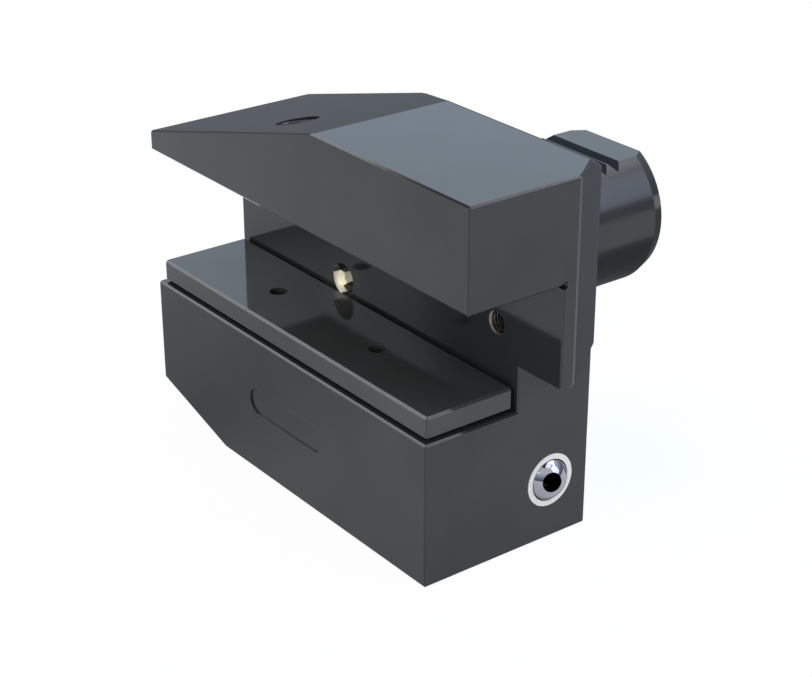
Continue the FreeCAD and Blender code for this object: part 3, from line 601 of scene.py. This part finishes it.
def tube(name, path, radius):
    """A round wire along an open path of points, with flat ends."""
    points = []
    faces = []
    last = len(path) - 1
    for i, here in enumerate(path):
        forward = (path[min(i + 1, last)] - path[max(i - 1, 0)]).normalized()
        side = forward.cross(ALMOST_UP).normalized()
        over = side.cross(forward)
        for j in range(WIRE_SIDES):
            angle = 2 * math.pi * j / WIRE_SIDES
            points.append(here + radius * (math.cos(angle) * side + math.sin(angle) * over))
    for i in range(last):
        low = i * WIRE_SIDES
        high = low + WIRE_SIDES
        for j in range(WIRE_SIDES):
            ahead = (j + 1) % WIRE_SIDES
            faces.append((low + j, low + ahead, high + ahead, high + j))
    faces.append(tuple(range(WIRE_SIDES))[::-1])
    faces.append(tuple(last * WIRE_SIDES + j for j in range(WIRE_SIDES)))
    return mesh_piece(name, points, faces)


spring_wire, _, _ = metal("spring_wire", (0.36, 0.36, 0.37), (0.44, 0.43, 0.42), 1.0, 0.28,
                          line_length=0.4, bare_and_sheen=0)
for side, x in zip(("left", "right"), SPRING_X):
    coil = []
    for i in range(COIL_STEPS + 1):
        turn = 2 * math.pi * COIL_TURNS * i / COIL_STEPS
        height = SPRING_FOOT + (SPRING_TOP - SPRING_FOOT) * i / COIL_STEPS
        coil.append(Vector((x + COIL_RADIUS * math.cos(turn),
                            SPRING_Y + COIL_RADIUS * math.sin(turn),
                            height)))
    spring = tube("spring_%s" % side, coil, WIRE)
    spring.data.materials.append(spring_wire)
    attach(spring, "holder")
    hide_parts("return_spring_%s" % side)
    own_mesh(spring)

# Screw plugs: black alloy set screws with a hexagon socket, turned in level with their seats.
# They close the coolant drillings in the underside, the left end and the shank, and the two holes in the
# slanted top and the back wall.
plug_black, _, _ = metal("black_oxide_plug", (0.052, 0.052, 0.054), (0.080, 0.078, 0.075), 0.85, 0.26,
                         line_length=1.5, bare_and_sheen=0.6)
for node in ("bottom_plug", "left_outlet_plug", "shank_plug", "nose_plug", "wall_screw"):
    dress(node, plug_black)

# Bore plug: the screw that closes the bore on the shank's axis, just behind the slot.
# It is black oxide like the others, but finer, and a wedge of its face is painted light ivory as a highlight,
# like the bore's wall.
bore_black, shader, tone = metal("black_oxide_fine", (0.030, 0.029, 0.028), (0.046, 0.044, 0.041), 0.6, 0.22,
                                 line_length=0.9, bare_and_sheen=0.3)
tree = bore_black.node_tree
# Painted highlight on a wedge of the plug's face
plug_highlight_share = cut_off(tree, 1.0, ((0, 0, 1), 0.0007), ((1, 0, 0), 0.0005), ((0.61, 0, -0.79), 0.00068))
link(tree, (mix_colour(tree, plug_highlight_share, tone, PAINTED_HIGHLIGHT), shader.inputs["Base Color"]))
dress("bore_plug", bore_black)

# Threads: the free turns of the tapped holes, which show beside the screws and plugs that are set deep.
# They are cut before blackening, so their crests are a little rubbed, and the lighter crests are also a
# painted glint at the rims of the holes.
THREAD_STEPS = 40
THREAD_FADE = 12
THREAD_HALF_FOOT = 0.42
SLOPE = math.radians(15)
NOSE_MOUTH = (0.0005, -0.0324, 0.0475 - 0.0235 * math.tan(SLOPE))
NOSE_IN = (math.sin(SLOPE), 0, -math.cos(SLOPE))
NOSE_SET_BACK = 0.0008
CLAMP_Y = -0.0324
CLAMP_THREAD_TOP = -0.0341
CLAMP_HOLES = (("left", -0.0284, -0.0360), ("middle", 0.010, -0.0414), ("right", 0.0484, -0.0414))

cut_thread, _, _ = metal("cut_thread", (0.050, 0.050, 0.050), (0.10, 0.098, 0.094), 0.7, 0.22,
                         line_length=0.8, bare_and_sheen=0.8)


def thread(name, mouth, inward, radius, pitch, length, depth):
    """A ridge that winds down the wall of a tapped hole from its mouth."""
    inward = Vector(inward).normalized()
    side = inward.orthogonal().normalized()
    over = inward.cross(side)
    steps = int(THREAD_STEPS * length / pitch)
    points = []
    for i in range(steps + 1):
        angle = 2 * math.pi * (length / pitch) * i / steps
        out = math.cos(angle) * side + math.sin(angle) * over
        centre = Vector(mouth) + inward * (length * i / steps)
        fade = min(1.0, i / THREAD_FADE, (steps - i) / THREAD_FADE)
        points += [centre + out * radius - inward * pitch * THREAD_HALF_FOOT,
                   centre + out * (radius - depth * fade),
                   centre + out * radius + inward * pitch * THREAD_HALF_FOOT]
    faces = []
    for i in range(steps):
        low = 3 * i
        faces += [(low, low + 1, low + 4, low + 3), (low + 1, low + 2, low + 5, low + 4)]
    made = mesh_piece(name, points, faces)
    made.data.materials.append(cut_thread)
    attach(made, "holder")


nose_start = Vector(NOSE_MOUTH) + Vector(NOSE_IN) * NOSE_SET_BACK
thread("nose_hole_thread", nose_start, NOSE_IN, radius=0.0049, pitch=0.00125, length=0.0022, depth=0.0005)
thread("wall_hole_thread", (0.055, -0.0199, 0.0095), (0, 1, 0),
       radius=0.0026, pitch=0.0008, length=0.0030, depth=0.0003)
for name, x, foot in CLAMP_HOLES:
    thread("clamp_hole_thread_%s" % name, (x, CLAMP_Y, foot), (0, 0, 1),
           radius=0.00605, pitch=0.0015, length=CLAMP_THREAD_TOP - foot, depth=0.0008)

# Ball nozzle: a ring of fine blasted stainless steel pressed in the block, and the mirror bright ball that
# it holds. The seat behind the ball is a turned ring of white sealing plastic.
blasted, _, _ = metal("fine_blasted", (0.72, 0.69, 0.65), (0.78, 0.75, 0.71), 0.25, 0.55,
                      line_length=0.3, line_pitch=0.3, line_depth=0.8, bare_and_sheen=0)
dress("nozzle_ring", blasted)
chrome, _, _ = metal("polished_chrome", (0.33, 0.335, 0.385), (0.37, 0.375, 0.425), 1.0, 0.06,
                     line_length=0.5, line_depth=0.05, bare_and_sheen=0)
dress("nozzle_ball", chrome)
plastic, _, _ = metal("sealing_plastic", (0.74, 0.73, 0.68), (0.70, 0.69, 0.64), 0.0, 0.45,
                      line_length=2.0, bare_and_sheen=0)
dress("nozzle_seat", plastic)

# Seals: moulded O-rings of black nitrile rubber, one round the root of the shank and one round the inlet.
# They are matte, with the dull bloom that rubber gets, and lie in turned grooves.
RING_STEPS = 96
CORD_SIDES = 14

rubber, _, _ = metal("nitrile_rubber", (0.018, 0.018, 0.019), (0.030, 0.030, 0.031), 0.0, 0.62,
                     line_length=0.6, bare_and_sheen=0)


def o_ring(name, node, centre, radius, cord):
    """A round cord bent to a ring about the Y direction."""
    centre = Vector(centre)
    points = []
    faces = []
    for i in range(RING_STEPS):
        turn = 2 * math.pi * i / RING_STEPS
        here = centre + radius * Vector((math.cos(turn), 0, math.sin(turn)))
        outward = (here - centre).normalized()
        low = i * CORD_SIDES
        high = (i + 1) % RING_STEPS * CORD_SIDES
        for j in range(CORD_SIDES):
            angle = 2 * math.pi * j / CORD_SIDES
            points.append(here + cord / 2 * (math.cos(angle) * outward + math.sin(angle) * Vector((0, 1, 0))))
            ahead = (j + 1) % CORD_SIDES
            faces.append((low + j, high + j, high + ahead, low + ahead))
    made = mesh_piece(name, points, faces)
    made.data.materials.append(rubber)
    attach(made, "holder")
    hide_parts(node)


o_ring("shank_o_ring", "shank_seal", (0, 0.0037, 0), radius=0.018775, cord=0.00235)
o_ring("inlet_o_ring", "inlet_seal", (0, -0.0005, -0.028), radius=0.0063, cord=0.0018)
